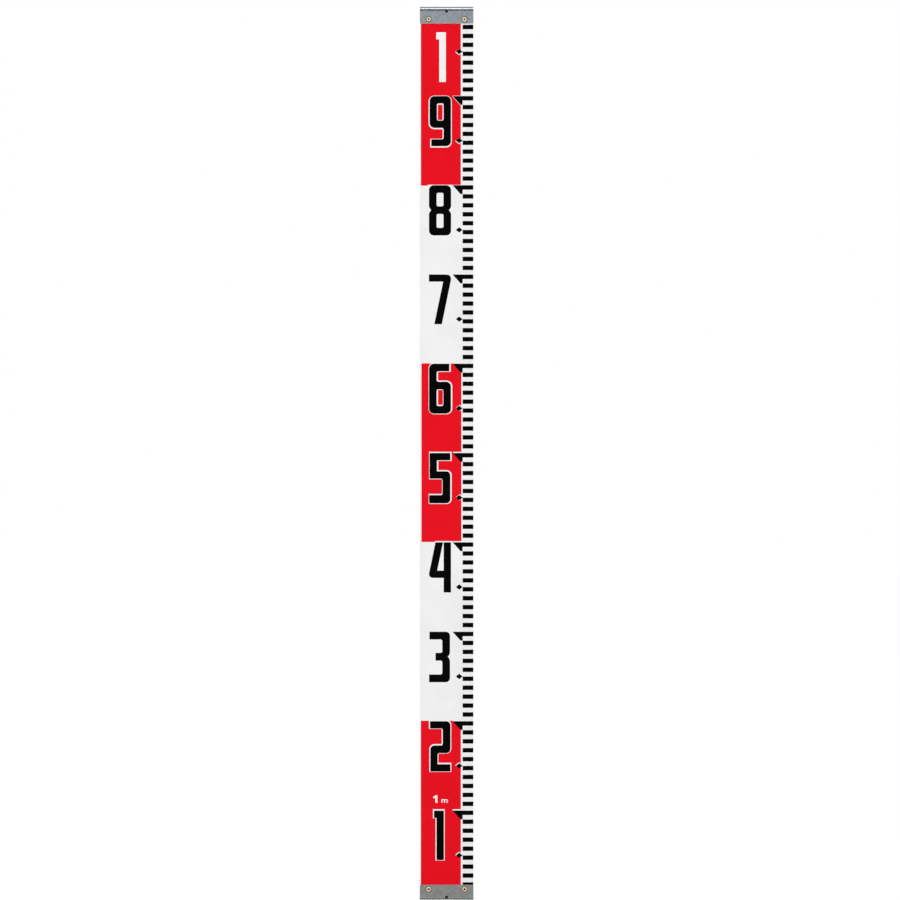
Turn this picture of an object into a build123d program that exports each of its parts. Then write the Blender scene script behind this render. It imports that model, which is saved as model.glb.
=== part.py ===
"""A one-metre graduated ribbon staff.

A coated cloth ribbon carries a printed scale. Each end is held in a folded sheet-metal
fitting by two hollow brass rivets. Millimetres, +Z up along the staff, the printed face
towards -Y, the origin at the middle of the bottom end, just below the zero of the scale.
"""
import os
from math import acos, atan2, ceil, cos, hypot, sin

from build123d import *

# Whole staff
STAFF_LENGTH = 1002.0
RIBBON_WIDTH = 60.0

# Ribbon layers
CORE_THICKNESS = 0.24
COAT_THICKNESS = 0.18
RIBBON_HOLD = 10.1

# Folded end fittings
SHEET = 0.8
FITTING_DEPTH = 18.8
BEAD_RADIUS = 2.1
BEAD_NECK = 0.4
NECK_BEND = 1.5
CORNER_RADIUS = 1.0
HOOK_HOLE = 3.4
HOOK_HOLE_SETBACK = 5.3

# Hollow rivets
RIVET_INSET = 10.0
RIVET_EDGE = 4.6
RIVET_SHANK = 3.0
RIVET_WALL = 0.5
RIVET_FLANGE = 1.1
RIVET_RIM = 0.7
RIVET_BEVEL = 0.45
RIVET_MOUTH = 0.25
RIVET_BORE_FLOOR = 0.5
RIVET_DOME = 0.9
RIVET_CLEARANCE = 0.05

# Printed scale
SCALE_ZERO = 1.5
INK_THICKNESS = 0.05
PRINT_CLEARANCE = 0.1
CENTIMETRE = 10.0
BLOCK_WIDTH = 11.9
FIELD_MARGIN = 1.6
FIELD_GAP = 2.3
FLAG_WIDTH = 10.2
DIAMOND_WIDTH = 6.4
DIAMOND_HEIGHT = 5.6
DIAMOND_GAP = 0.8
BARE_OUTLINE = 0.9

# Sizes that follow from those above
RIBBON_THICKNESS = CORE_THICKNESS + 2 * COAT_THICKNESS
CLAMPED_THICKNESS = RIBBON_THICKNESS + 2 * SHEET
RIVET_HEAD = RIVET_SHANK + 2 * RIVET_FLANGE
RIVET_BORE = RIVET_SHANK - 2 * RIVET_WALL
RIVET_HOLE = RIVET_SHANK + 2 * RIVET_CLEARANCE
RIVET_SETBACK = FITTING_DEPTH - RIVET_EDGE
RIBBON_LENGTH = STAFF_LENGTH - 2 * (FITTING_DEPTH - RIBBON_HOLD)
MIDDLE = Plane.XY.offset(STAFF_LENGTH / 2)

# Lines of the scale, as seen from the front
DECIMETRE = 10 * CENTIMETRE
FIELD_LENGTH = 2 * DECIMETRE
SCALE_LOW = FITTING_DEPTH + PRINT_CLEARANCE
SCALE_HIGH = STAFF_LENGTH - FITTING_DEPTH - PRINT_CLEARANCE
BLOCK_LEFT = RIBBON_WIDTH / 2 - BLOCK_WIDTH
FLAG_LEFT = BLOCK_LEFT - FLAG_WIDTH
FIELD_LEFT = FIELD_MARGIN - RIBBON_WIDTH / 2
FIELD_WIDTH = BLOCK_LEFT - FIELD_GAP - FIELD_LEFT
DIAMOND_MIDDLE = BLOCK_LEFT - DIAMOND_GAP - DIAMOND_WIDTH / 2

# The front face of the ribbon, with X to the right, Z up and its normal towards the reader
PRINTED_FACE = Plane.XZ.offset(RIBBON_THICKNESS / 2)


def rivet_places(height):
    """The two rivet centres at one height, as points of the front view."""
    x = RIBBON_WIDTH / 2 - RIVET_INSET
    return [(-x, height), (x, height)]


def rivet_holes(height):
    """The two rivet holes at one height, as circles of the front view."""
    return [Pos(x, z) * Circle(RIVET_HOLE / 2) for x, z in rivet_places(height)]


def ribbon_layer(back, thickness):
    """One layer of the ribbon, from its back plane towards the reader, with its rivet holes."""
    strip = Pos(0, STAFF_LENGTH / 2) * Rectangle(RIBBON_WIDTH, RIBBON_LENGTH)
    holes = rivet_holes(RIVET_SETBACK) + rivet_holes(STAFF_LENGTH - RIVET_SETBACK)
    return extrude(Plane.XZ.offset(back) * (strip - holes), amount=thickness)


def fold_line():
    """Middle line of the folded sheet, seen from the right: leg, neck, round bead, neck, leg."""
    bead = BEAD_RADIUS - SHEET / 2
    leg = (CLAMPED_THICKNESS - SHEET) / 2
    rise = BEAD_RADIUS + BEAD_NECK
    bend_height = BEAD_RADIUS + rise
    turn = atan2(leg, rise) + acos(bead / hypot(leg, rise))
    touch = (bead * sin(turn), BEAD_RADIUS + bead * cos(turn))
    tip = (0, BEAD_RADIUS - bead)
    back = FilletPolyline((leg, FITTING_DEPTH), (leg, bend_height), touch, radius=NECK_BEND)
    return back + ThreePointArc(touch, tip, (-touch[0], touch[1])) + mirror(back, about=Plane.YZ)


def end_fitting():
    """Bottom end fitting: sheet folded round the ribbon's end, pierced for two rivets and a hook."""
    fold = extrude(Plane.YZ * trace(fold_line(), line_width=SHEET), amount=RIBBON_WIDTH / 2, both=True)
    front = Pos(0, FITTING_DEPTH / 2) * RectangleRounded(RIBBON_WIDTH, FITTING_DEPTH, CORNER_RADIUS)
    fold &= extrude(Plane.XZ * front, amount=2 * BEAD_RADIUS, both=True)
    holes = Sketch(children=rivet_holes(RIVET_SETBACK))
    fold -= extrude(Plane.XZ * holes, amount=2 * BEAD_RADIUS, both=True)
    hook_hole = Pos(0, HOOK_HOLE_SETBACK) * Circle(HOOK_HOLE / 2)
    return fold - extrude(Plane.XZ * hook_hole, amount=2 * BEAD_RADIUS)


def rivet(x, z):
    """Hollow rivet set from the back: domed head behind, bevelled rim round an open bore in front."""
    shank, head, bore = RIVET_SHANK / 2, RIVET_HEAD / 2, RIVET_BORE / 2
    back, front = -CLAMPED_THICKNESS / 2, CLAMPED_THICKNESS / 2
    crest, floor = front + RIVET_RIM, back + RIVET_BORE_FLOOR
    crown = (0, back - RIVET_DOME)
    outline = [
        TangentArc(crown, (head, back), tangent=(1, 0)),
        Polyline((head, back), (shank, back), (shank, front), (head, front), (head, crest - RIVET_BEVEL)),
        Polyline((head, crest - RIVET_BEVEL), (head - RIVET_BEVEL, crest), (bore, front + RIVET_MOUTH)),
        Polyline((bore, front + RIVET_MOUTH), (bore, floor), (0, floor), crown),
    ]
    turned = revolve(Plane.XZ * make_face(outline), axis=Axis.Z)
    return Pos(x, 0, z) * Rot(90, 0, 0) * turned


def heights(first, pitch):
    """Heights of the scale's lines, at one pitch from the first one up to the top fitting."""
    low = SCALE_ZERO + first
    return [low + pitch * n for n in range(ceil((SCALE_HIGH - low) / pitch))]


def printed(marks):
    """Some marks as a layer of ink on the front face, where the end fittings leave it in view."""
    window = Pos(0, (SCALE_LOW + SCALE_HIGH) / 2) * Rectangle(RIBBON_WIDTH, SCALE_HIGH - SCALE_LOW)
    return extrude(PRINTED_FACE * ((Sketch() + marks) & window), amount=INK_THICKNESS)


def centimetre_blocks():
    """One block under every centimetre line, half as high, out to the right edge."""
    corner = (Align.MIN, Align.MAX)
    return [Pos(BLOCK_LEFT, z) * Rectangle(BLOCK_WIDTH, CENTIMETRE / 2, align=corner)
            for z in heights(CENTIMETRE, CENTIMETRE)]


def decimetre_flags():
    """One flag under every decimetre line, a centimetre high, its upright edge at the blocks."""
    return [make_face(Polyline((FLAG_LEFT, z), (BLOCK_LEFT, z), (BLOCK_LEFT, z - CENTIMETRE), close=True))
            for z in heights(DECIMETRE, DECIMETRE)]


def half_decimetre_diamonds(outline=0.0):
    """One diamond on every half decimetre, or the larger shape with a bare outline."""
    wide = DIAMOND_WIDTH / 2 + outline
    high = DIAMOND_HEIGHT / 2 + outline
    x = DIAMOND_MIDDLE
    return [make_face(Polyline((x - wide, z), (x, z + high), (x + wide, z), (x, z - high), close=True))
            for z in heights(DECIMETRE / 2, DECIMETRE)]


def bare_ground():
    """What the red leaves bare: the flags, a line above each flag, and the outlined diamonds."""
    corner = (Align.MIN, Align.MIN)
    lines = [Pos(FLAG_LEFT, z) * Rectangle(FLAG_WIDTH, BARE_OUTLINE, align=corner)
             for z in heights(DECIMETRE, DECIMETRE)]
    return decimetre_flags() + lines + half_decimetre_diamonds(BARE_OUTLINE)


def red_field(z):
    """One red field, from its lower edge up."""
    corner = (Align.MIN, Align.MIN)
    return Pos(FIELD_LEFT, z) * Rectangle(FIELD_WIDTH, FIELD_LENGTH, align=corner) - bare_ground()


def build():
    """Every piece of the staff by name."""
    pieces = {
        "back_coat": ribbon_layer(-RIBBON_THICKNESS / 2, COAT_THICKNESS),
        "woven_core": ribbon_layer(-CORE_THICKNESS / 2, CORE_THICKNESS),
        "front_coat": ribbon_layer(CORE_THICKNESS / 2, COAT_THICKNESS),
        "centimetre_blocks": printed(centimetre_blocks()),
        "decimetre_flags": printed(decimetre_flags()),
        "half_decimetre_diamonds": printed(half_decimetre_diamonds()),
    }
    for number, z in enumerate(heights(0, 2 * FIELD_LENGTH), start=1):
        pieces[f"red_field_{number}"] = printed([red_field(z)])
    pieces["bottom_end_fitting"] = end_fitting()
    pieces["top_end_fitting"] = mirror(end_fitting(), about=MIDDLE)
    for end, height in (("bottom", RIVET_SETBACK), ("top", STAFF_LENGTH - RIVET_SETBACK)):
        for side, (x, z) in zip(("left", "right"), rivet_places(height)):
            pieces[f"{end}_{side}_rivet"] = rivet(x, z)
    return pieces


os.makedirs("parts", exist_ok=True)
for name, piece in build().items():
    export_step(piece, f"parts/{name}.step")
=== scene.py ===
"""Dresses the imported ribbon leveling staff: ribbon, printed scale, end fittings and rivets.

Metres, +Z up along the staff, the printed face towards -Y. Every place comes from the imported
solids, and every piece is modelled with Blender's own operators.
"""
import math

import bpy
from bpy.props import FloatProperty, FloatVectorProperty, PointerProperty
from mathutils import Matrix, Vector


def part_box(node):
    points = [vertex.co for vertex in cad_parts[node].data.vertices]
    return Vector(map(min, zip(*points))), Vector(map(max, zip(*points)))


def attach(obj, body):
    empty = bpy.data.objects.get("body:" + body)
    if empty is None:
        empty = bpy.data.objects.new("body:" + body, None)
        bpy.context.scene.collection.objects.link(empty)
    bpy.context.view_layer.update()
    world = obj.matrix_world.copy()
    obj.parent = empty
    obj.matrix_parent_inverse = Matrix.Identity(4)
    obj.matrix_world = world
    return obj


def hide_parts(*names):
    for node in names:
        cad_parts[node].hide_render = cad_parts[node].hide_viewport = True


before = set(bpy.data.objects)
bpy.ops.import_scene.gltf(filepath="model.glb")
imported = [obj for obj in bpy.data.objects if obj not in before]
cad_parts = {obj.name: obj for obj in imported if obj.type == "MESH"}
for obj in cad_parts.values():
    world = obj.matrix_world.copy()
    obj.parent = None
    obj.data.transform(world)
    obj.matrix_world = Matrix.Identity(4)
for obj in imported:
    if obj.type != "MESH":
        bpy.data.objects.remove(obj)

bl_info = {
    "name": "Ribbon leveling staff",
    "version": (1, 0, 0),
    "blender": (4, 5, 0),
    "location": "View3D > Sidebar > Staff",
    "description": "Dresses a graduated ribbon staff with its print, end fittings and rivets",
    "category": "Add Mesh",
}

MM = 0.001
CENTIMETRE = 10 * MM
DECIMETRE = 10 * CENTIMETRE
# Steps along the ribbon at which it can bow
LEVEL_STEP = CENTIMETRE / 2
# How far a cutter reaches past what it cuts
SPARE = 1 * MM
# Points this near to a place are at it, and points this near to each other are doubled
NEAR, DOUBLED = 0.01 * MM, 0.001 * MM
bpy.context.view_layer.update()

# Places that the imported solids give
COAT_LOW, COAT_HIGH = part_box("front_coat")
RIBBON_LEFT, RIBBON_RIGHT = COAT_LOW.x, COAT_HIGH.x
RIBBON_LOW, RIBBON_HIGH = COAT_LOW.z, COAT_HIGH.z
RIBBON_FRONT = COAT_LOW.y
RIBBON_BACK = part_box("back_coat")[1].y
CORE_FRONT, CORE_BACK = (corner.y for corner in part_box("woven_core"))
BLOCKS_LOW, BLOCKS_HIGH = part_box("centimetre_blocks")
FLAGS_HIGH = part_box("decimetre_flags")[1]
DIAMONDS_LOW, DIAMONDS_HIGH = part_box("half_decimetre_diamonds")
FITTING_LOW, FITTING_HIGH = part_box("bottom_end_fitting")
BEAD_HEIGHT = FITTING_LOW.z + FITTING_HIGH.y
STAFF_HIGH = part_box("top_end_fitting")[1].z
INK_FRONT = BLOCKS_LOW.y
SCALE_LOW, SCALE_HIGH = BLOCKS_LOW.z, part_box("red_field_3")[1].z

# Each numeral in millimetres: its left and right side from the ribbon's left edge, how much heavier its
# stroke is than the thinnest, and how far its foot reaches past the common height
NUMERALS = {
    1: (15.9, 26.95, 0.2, -0.6),
    2: (11.4, 34.3, 0.6, 0.4),
    3: (10.4, 33.8, 0.6, 0.5),
    4: (9.3, 34.9, 0.2, 0.2),
    5: (10.5, 34.15, 0.7, 0.45),
    6: (10.35, 34.85, 0.5, 0.1),
    7: (10.2, 34.9, 0.5, -0.1),
    8: (10.25, 35.0, 0.5, 0.4),
    9: (11.0, 34.85, 0.2, 0.4),
}
ON_RED = (1, 2, 5, 6, 9)
UNDER_RED = (4, 8)
# Where the outer side of the 7 turns down, in strokes
KNEE = 0.72

# How far each red field was printed out of register with the black, in millimetres: to the right, and up
REGISTER = {1: (-0.13, 0.8), 2: (0.5, 0.56), 3: (-0.13, -0.3)}

# The letter of the unit mark in shares of the figure's height: where it starts, and its own height
LETTER_LEFT, LETTER_HIGH = 1.06, 0.46

# Dirt and painted shade in the neck's crease and at the rivets' feet: from where to where they grow on the
# bead's side of the neck, and thin out on the legs' side and round a rivet's head
DIRT_AND_SHADE_AT_BEAD = (1.6 * MM, 0.4 * MM)
DIRT_AND_SHADE_AT_LEGS = (0.4 * MM, 0.9 * MM)
DIRT_AND_SHADE_AT_RIVET = (0.6 * MM, 1.5 * MM)

# A face of the fold that looks this much towards the middle is on its inside
LOOKS_IN = -0.5

# The zero of the scale: the highest flag hangs from the last numeral's line
ZERO = FLAGS_HIGH.z - len(NUMERALS) * DECIMETRE


def length(name, description, default):
    """A size of the staff that a user may change, in metres."""
    return FloatProperty(name=name, description=description, default=default, min=0.0,
                         unit="LENGTH", subtype="DISTANCE", precision=5)


def colour(name, description, default):
    """A colour of the staff that a user may change."""
    return FloatVectorProperty(name=name, description=description, default=default, size=3,
                               min=0.0, max=1.0, subtype="COLOR")


def stage_place(name, description, default):
    """A place on the stage that a user may change, in metres."""
    return FloatVectorProperty(name=name, description=description, default=default, size=3,
                               unit="LENGTH", subtype="TRANSLATION")


def fraction(name, description, default):
    """A share from 0 to 1 that a user may change."""
    return FloatProperty(name=name, description=description, default=default, min=0.0, max=1.0,
                         subtype="FACTOR")


def power(name, description, default):
    """A lamp's power that a user may change, in watts."""
    return FloatProperty(name=name, description=description, default=default, subtype="POWER")


class RibbonSettings(bpy.types.PropertyGroup):
    """Shape and finish of the coated cloth ribbon."""
    edge_round: length("Edge round", "Softened corner along the slit edges", 0.06 * MM)
    core_recess: length("Core recess", "How far the cloth lies back in the slit edges", 0.05 * MM)
    rivet_hole: length("Rivet hole", "Diameter punched for each rivet", 3.1 * MM)
    sway: length("Sway", "How far the hanging ribbon bows out of its plane", 0.55 * MM)
    sway_wave: length("Sway wave", "Length of one bow along the ribbon", 310 * MM)
    twist: FloatProperty(name="Twist", description="Turn of the ribbon about its length",
                         default=math.radians(0.8), subtype="ANGLE")
    twist_wave: length("Twist wave", "Length of one twist along the ribbon", 530 * MM)
    settle: length("Settle", "Run beside each fitting over which the ribbon comes flat", 130 * MM)
    thread: length("Thread pitch", "Spacing of the threads that show through the coat", 0.36 * MM)
    coat: colour("Coat", "White vinyl coat", (0.85, 0.85, 0.855))
    cloth: colour("Cloth", "Undyed cloth in the slit edges", (0.66, 0.65, 0.61))


class PrintSettings(bpy.types.PropertyGroup):
    """Printed scale: numerals, marks, bare outlines and inks."""
    high: length("Numeral height", "Height of a numeral", 55.85 * MM)
    stroke: length("Stroke", "Width of the thinnest numeral's stroke", 8.0 * MM)
    slant_stroke: length("Slanted stroke", "Level width of the thinnest slanted stroke", 8.3 * MM)
    thinner: length("Thinner bar", "How much thinner the level bars of the 2, 5, 7 and 9 are", 0.5 * MM)
    turn: length("Outer round", "Rounding of a numeral's outer corners", 4.6 * MM)
    loop_turn: length("Loop round", "Rounding of the outer corners of the 4, 6, 8 and 9", 5.5 * MM)
    nook: length("Inner round", "Rounding of a numeral's inner corners", 1.9 * MM)
    notch: length("Waist notch", "Depth of the notch at the waist of the 3 and the 8", 2.5 * MM)
    notch_half: length("Waist half", "Half the height of that notch", 3.2 * MM)
    lean: FloatProperty(name="Lean", description="Lean of the slanted strokes", default=0.206)
    waist: length("Waist", "How far the middle bar of the 2, 5, 6 and 9 lies off the middle", 0.8 * MM)
    lift: length("Lift", "How far the bar of the 4 is raised", 0.4 * MM)
    inset: length("Inset", "How far the left end of the 2, 3 and 5 stands in where it does", 0.45 * MM)
    tail: length("Tail", "How much shorter the tail of the 6 and the 9 is than their width", 1.8 * MM)
    stub: length("Middle bar", "Where the middle bar of the 3 starts, from its left side", 7.2 * MM)
    outline: length("Bare outline", "Bare coat round a numeral on red", 1.05 * MM)
    black_rise: length("Black rise", "How far the black print lies above the scale's lines", 0.2 * MM)
    block_spread: length("Block spread", "How far the ink of a block spreads to the left", 0.15 * MM)
    red_spread: length("Red spread", "How far the red ink spreads to each side", 0.25 * MM)
    flag_wide: length("Flag width", "Width of a flag with the spread of its ink", 11.2 * MM)
    flag_high: length("Flag height", "Height of a flag with the spread of its ink", 9.8 * MM)
    flag_tip: length("Flag tip", "Width of the blunt lower end of a flag", 2.5 * MM)
    flag_outline: length("Flag outline", "Bare coat over a flag on red", 0.9 * MM)
    diamond_wide: length("Diamond width", "Width of a diamond with the spread of its ink", 7.5 * MM)
    diamond_high: length("Diamond height", "Height of a diamond with the spread of its ink", 6.1 * MM)
    diamond_outline: length("Diamond outline", "Bare coat at the tips of a diamond on red", 0.55 * MM)
    metre_top: length("Metre numeral", "Top of the bare numeral on the scale", 971.85 * MM)
    metre_left: length("Metre left", "Left side of that numeral on the ribbon", 18.3 * MM)
    metre_right: length("Metre right", "Right side of that numeral on the ribbon", 29.2 * MM)
    metre_bar: length("Metre bar", "Height of that numeral's level flag", 7.95 * MM)
    metre_flag: length("Metre flag", "How far its flag reaches left of the stem", 3.4 * MM)
    unit_foot: length("Unit foot", "Foot of the small unit mark", 108.9 * MM)
    unit_left: length("Unit left", "Left side of the small unit mark", 15.0 * MM)
    unit_high: length("Unit height", "Height of the figure in the unit mark", 8.6 * MM)
    red: colour("Red", "Red ink", (0.785, 0.0036, 0.0125))
    black: colour("Black", "Black ink", (0.0014, 0.0016, 0.0016))


class FittingSettings(bpy.types.PropertyGroup):
    """Folded sheet-metal ends."""
    sheet: length("Sheet", "Thickness of the sheet", 0.8 * MM)
    neck: length("Neck", "From the bead's underside to the bend into the flat legs", 0.4 * MM)
    neck_bend: length("Neck bend", "Radius of the bend between bead and legs", 1.5 * MM)
    corner: length("Corner", "Corner radius in the front view", 1.0 * MM)
    edge: length("Broken edge", "Bevel on the sheared edges", 0.12 * MM)
    hook_hole: length("Hook hole", "Diameter of the hook hole", 3.4 * MM)
    hook_setback: length("Hook setback", "Hook hole from the end", 5.3 * MM)
    rivet_hole: length("Rivet hole", "Diameter of each rivet hole", 3.1 * MM)
    # The two ends are the same folded sheet; the bottom one is coloured darker than the top
    top: colour("Top metal", "Plated sheet at the top end", (0.28, 0.307, 0.333))
    bottom: colour("Bottom metal", "Plated sheet at the bottom end", (0.217, 0.2335, 0.2224))
    # Painted shade: the metal inside the fold is coloured near black
    inside: colour("Inside", "Dull metal inside the fold", (0.02, 0.02, 0.02))
    # Dirt and painted shade: how dark the bead's neck and the rivets' feet are made at each end
    top_dirt_and_shade: fraction("Top grime", "Dirt in the top bead's neck and round the top rivets", 0.96)
    bottom_dirt_and_shade: fraction("Bottom grime", "Dirt in the bottom bead's neck and round its rivets", 0.6)


class RivetSettings(bpy.types.PropertyGroup):
    """Hollow brass rivets."""
    shank: length("Shank", "Diameter of the shank", 3.0 * MM)
    bore: length("Bore", "Diameter of the open bore", 2.0 * MM)
    bevel: length("Rim bevel", "Rounding of the rolled rim", 0.45 * MM)
    mouth: length("Mouth", "Rounding of the bore's mouth", 0.45 * MM)
    floor: length("Bore floor", "Metal left at the back of the bore", 0.5 * MM)
    brass: colour("Brass", "Pale brass", (0.74, 0.60, 0.36))
    # How much darker the brass is made at the bottom end than at the top
    bottom_darkening: fraction("Wear", "How much duller the brass is at the bottom end than at the top", 0.5)
    # Tarnish and painted shade: the bore is coloured near black
    bore_tarnish_and_shade: colour("Tarnish", "Tarnished brass in the bore", (0.016, 0.012, 0.008))


class StageSettings(bpy.types.PropertyGroup):
    """Floor, light and camera."""
    distance: length("Camera distance", "From the lens to the printed face", 2.0)
    frame_width: length("Frame width", "Width of the picture at the printed face", 1007.6 * MM)
    frame_x: FloatProperty(name="Frame middle", description="Middle of the picture across the staff",
                           default=3.8 * MM, unit="LENGTH", precision=5)
    frame_z: length("Frame height", "Middle of the picture on the scale", 503.57 * MM)
    tilt: FloatProperty(name="Camera tilt", description="How far the camera looks up",
                        default=math.radians(0.3), subtype="ANGLE")
    floor_size: length("Floor size", "Side of the floor", 12.0)
    floor: colour("Floor", "Pale floor", (0.85, 0.85, 0.85))
    floor_glow: FloatProperty(name="Floor glow", description="Light that the floor adds where it is seen",
                              default=0.42, min=0.0)
    ambient: FloatProperty(name="Ambient", description="Light from all round", default=0.685, min=0.0)
    key: power("Key lamp", "Lamp at the left", 12.4)
    key_place: stage_place("Key place", "Middle of the lamp at the left", (-1.7, -2.2, 0.6))
    fill: power("Fill lamp", "Lamp at the right", 8.6)
    fill_place: stage_place("Fill place", "Middle of the lamp at the right", (1.9, -2.0, 0.4))
    side_size: length("Side lamps", "Side of the two square lamps", 1.6)
    front: power("Front lamp", "Lamp behind the camera", 40.0)
    front_place: stage_place("Front place", "Middle of the lamp behind the camera", (0.0, -4.5, 0.35))
    front_wide: length("Front width", "Width of the lamp behind the camera", 1.2)
    front_high: length("Front height", "Height of the lamp behind the camera", 0.9)


class StaffSettings(bpy.types.PropertyGroup):
    """Everything that can be set on the staff."""
    ribbon: PointerProperty(type=RibbonSettings)
    scale: PointerProperty(type=PrintSettings)
    fitting: PointerProperty(type=FittingSettings)
    rivet: PointerProperty(type=RivetSettings)
    stage: PointerProperty(type=StageSettings)


def settings():
    """The staff's settings in this scene."""
    return bpy.context.scene.staff


def rivet_places(end):
    """Middles of the two rivets at one end, left and right."""
    return [(low + high) / 2 for low, high in (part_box(f"{end}_left_rivet"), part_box(f"{end}_right_rivet"))]


# Modelling steps

def select_only(piece):
    """Leaves one object selected and active."""
    bpy.ops.object.select_all(action="DESELECT")
    piece.select_set(True)
    bpy.context.view_layer.objects.active = piece


def apply_transform():
    """Leaves the selected objects at the origin, unturned and unscaled."""
    bpy.ops.object.transform_apply(location=True, rotation=True, scale=True)


def add_primitive(name, add, **options):
    """A named primitive at its size and place, alone in the selection."""
    bpy.ops.object.select_all(action="DESELECT")
    add(**options)
    piece = bpy.context.object
    piece.name = name
    piece.data.name = name
    apply_transform()
    return piece


def add_box(name, low, high):
    """A box between two corners."""
    low, high = Vector(low), Vector(high)
    return add_primitive(name, bpy.ops.mesh.primitive_cube_add, size=1.0,
                         location=(low + high) / 2, scale=high - low)


def add_post(name, x, z, diameter, front, back, vertices=48):
    """A round post along Y, for a hole."""
    return add_primitive(name, bpy.ops.mesh.primitive_cylinder_add, vertices=vertices,
                         radius=diameter / 2, depth=back - front,
                         location=(x, (front + back) / 2, z), rotation=(math.pi / 2, 0, 0))


def start_line(name, point):
    """A new mesh of one selected vertex in edit mode, from which a line is drawn by extruding."""
    piece = add_primitive(name, bpy.ops.mesh.primitive_plane_add, size=MM, location=point)
    bpy.ops.object.mode_set(mode="EDIT")
    bpy.ops.mesh.select_mode(type="VERT")
    bpy.ops.mesh.select_all(action="SELECT")
    bpy.ops.mesh.merge(type="CENTER")
    return piece


def draw_on(step):
    """Draws a line on from the selected vertex by one step."""
    bpy.ops.mesh.extrude_vertices_move(TRANSFORM_OT_translate={"value": step})


def pull_out(step):
    """Extrudes the selected edges or faces by one step."""
    bpy.ops.mesh.extrude_region_move(TRANSFORM_OT_translate={"value": step})


def pick(piece, kind, test):
    """Enters edit mode with those vertices, edges or faces selected whose middle passes a test."""
    select_only(piece)
    bpy.ops.object.mode_set(mode="EDIT")
    bpy.ops.mesh.select_mode(type=kind)
    bpy.ops.mesh.select_all(action="DESELECT")
    bpy.ops.object.mode_set(mode="OBJECT")
    points = piece.data.vertices
    if kind == "VERT":
        for point in points:
            point.select = test(point.co)
    if kind == "EDGE":
        for edge in piece.data.edges:
            first, second = edge.vertices
            edge.select = test((points[first].co + points[second].co) / 2)
    if kind == "FACE":
        for face in piece.data.polygons:
            face.select = test(face.center)
    bpy.ops.object.mode_set(mode="EDIT")


def pick_all(piece):
    """Enters edit mode with every vertex selected."""
    pick(piece, "VERT", lambda place: True)


def leave_edit():
    """Back to object mode."""
    bpy.ops.object.mode_set(mode="OBJECT")


def finish_with(piece, kind, **options):
    """Adds a modifier to a piece and applies it."""
    modifier = piece.modifiers.new(kind.title(), kind)
    for key, value in options.items():
        setattr(modifier, key, value)
    select_only(piece)
    bpy.ops.object.modifier_apply(modifier=modifier.name)


def repeat_up(piece, count, step):
    """Repeats a piece upwards at even steps."""
    finish_with(piece, "ARRAY", count=count, use_relative_offset=False, use_constant_offset=True,
                constant_offset_displace=(0, 0, step))


def combine(piece, cutters, operation="DIFFERENCE"):
    """Cuts a piece with each cutter in turn, or keeps what they share."""
    for cutter in cutters:
        finish_with(piece, "BOOLEAN", object=cutter, operation=operation, solver="EXACT")


def discard(pieces):
    """Deletes objects that have done their work."""
    bpy.ops.object.select_all(action="DESELECT")
    for piece in pieces:
        piece.select_set(True)
    bpy.ops.object.delete()


def duplicate(piece, name):
    """A copy with its own mesh."""
    select_only(piece)
    bpy.ops.object.duplicate(linked=False)
    copy = bpy.context.object
    copy.name = name
    copy.data.name = name
    return copy


def close_seams(piece):
    """Merges doubled points and turns every face outwards."""
    pick_all(piece)
    bpy.ops.mesh.remove_doubles(threshold=DOUBLED)
    bpy.ops.mesh.select_all(action="SELECT")
    bpy.ops.mesh.normals_make_consistent(inside=False)
    leave_edit()


def keep_between(piece, low, high):
    """Trims a piece to the stretch between two heights."""
    for height, upper in ((low, False), (high, True)):
        pick_all(piece)
        bpy.ops.mesh.bisect(plane_co=(0, 0, height), plane_no=(0, 0, 1), use_fill=True,
                            clear_inner=not upper, clear_outer=upper)
        leave_edit()


def cut_levels(piece):
    """Cuts a piece level at every step of the ribbon, so that it can bow with it."""
    heights = [point.co.z for point in piece.data.vertices]
    first = math.ceil((min(heights) - ZERO) / LEVEL_STEP)
    last = math.floor((max(heights) - ZERO) / LEVEL_STEP)
    for step in range(first, last + 1):
        pick_all(piece)
        bpy.ops.mesh.bisect(plane_co=(0, 0, ZERO + step * LEVEL_STEP), plane_no=(0, 0, 1))
        leave_edit()


def smooth_step(share):
    """A soft rise from 0 to 1."""
    share = min(max(share, 0.0), 1.0)
    return share * share * (3 - 2 * share)


def bow(piece):
    """Moves a piece of the ribbon with the ribbon's slow bow and twist between the fittings."""
    ribbon = settings().ribbon
    low, high = FITTING_HIGH.z, STAFF_HIGH - FITTING_HIGH.z
    for point in piece.data.vertices:
        x, z = point.co.x, point.co.z
        free = smooth_step((z - low) / ribbon.settle) * smooth_step((high - z) / ribbon.settle)
        out = ribbon.sway * math.sin(math.tau * z / ribbon.sway_wave)
        turn = ribbon.twist * math.sin(math.tau * z / ribbon.twist_wave)
        point.co.y += free * (out + x * turn)
    piece.data.update()


def smooth(piece, degrees=32):
    """Smooth shading, apart from edges sharper than an angle."""
    select_only(piece)
    bpy.ops.object.shade_smooth_by_angle(angle=math.radians(degrees))


def clothe(piece, *materials):
    """Gives a piece its materials in order."""
    piece.data.materials.clear()
    for material in materials:
        piece.data.materials.append(material)


def stand_for(piece, slot, *nodes):
    """A piece rides on the staff and hides the nodes that it may stand for. The slot is not used."""
    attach(piece, "root")
    if nodes:
        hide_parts(*nodes)


def finish_print(piece, ink, slot, *nodes):
    cut_levels(piece)
    bow(piece)
    clothe(piece, ink)
    stand_for(piece, slot, *nodes)


# Outlines of the print: corners as (across, down, rounding), clockwise as the reader sees them

def rectangle(left, top, right, bottom, round_by=0.0):
    """A rectangle with rounded corners."""
    return [(left, top, round_by), (right, top, round_by),
            (right, bottom, round_by), (left, bottom, round_by)]


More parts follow.
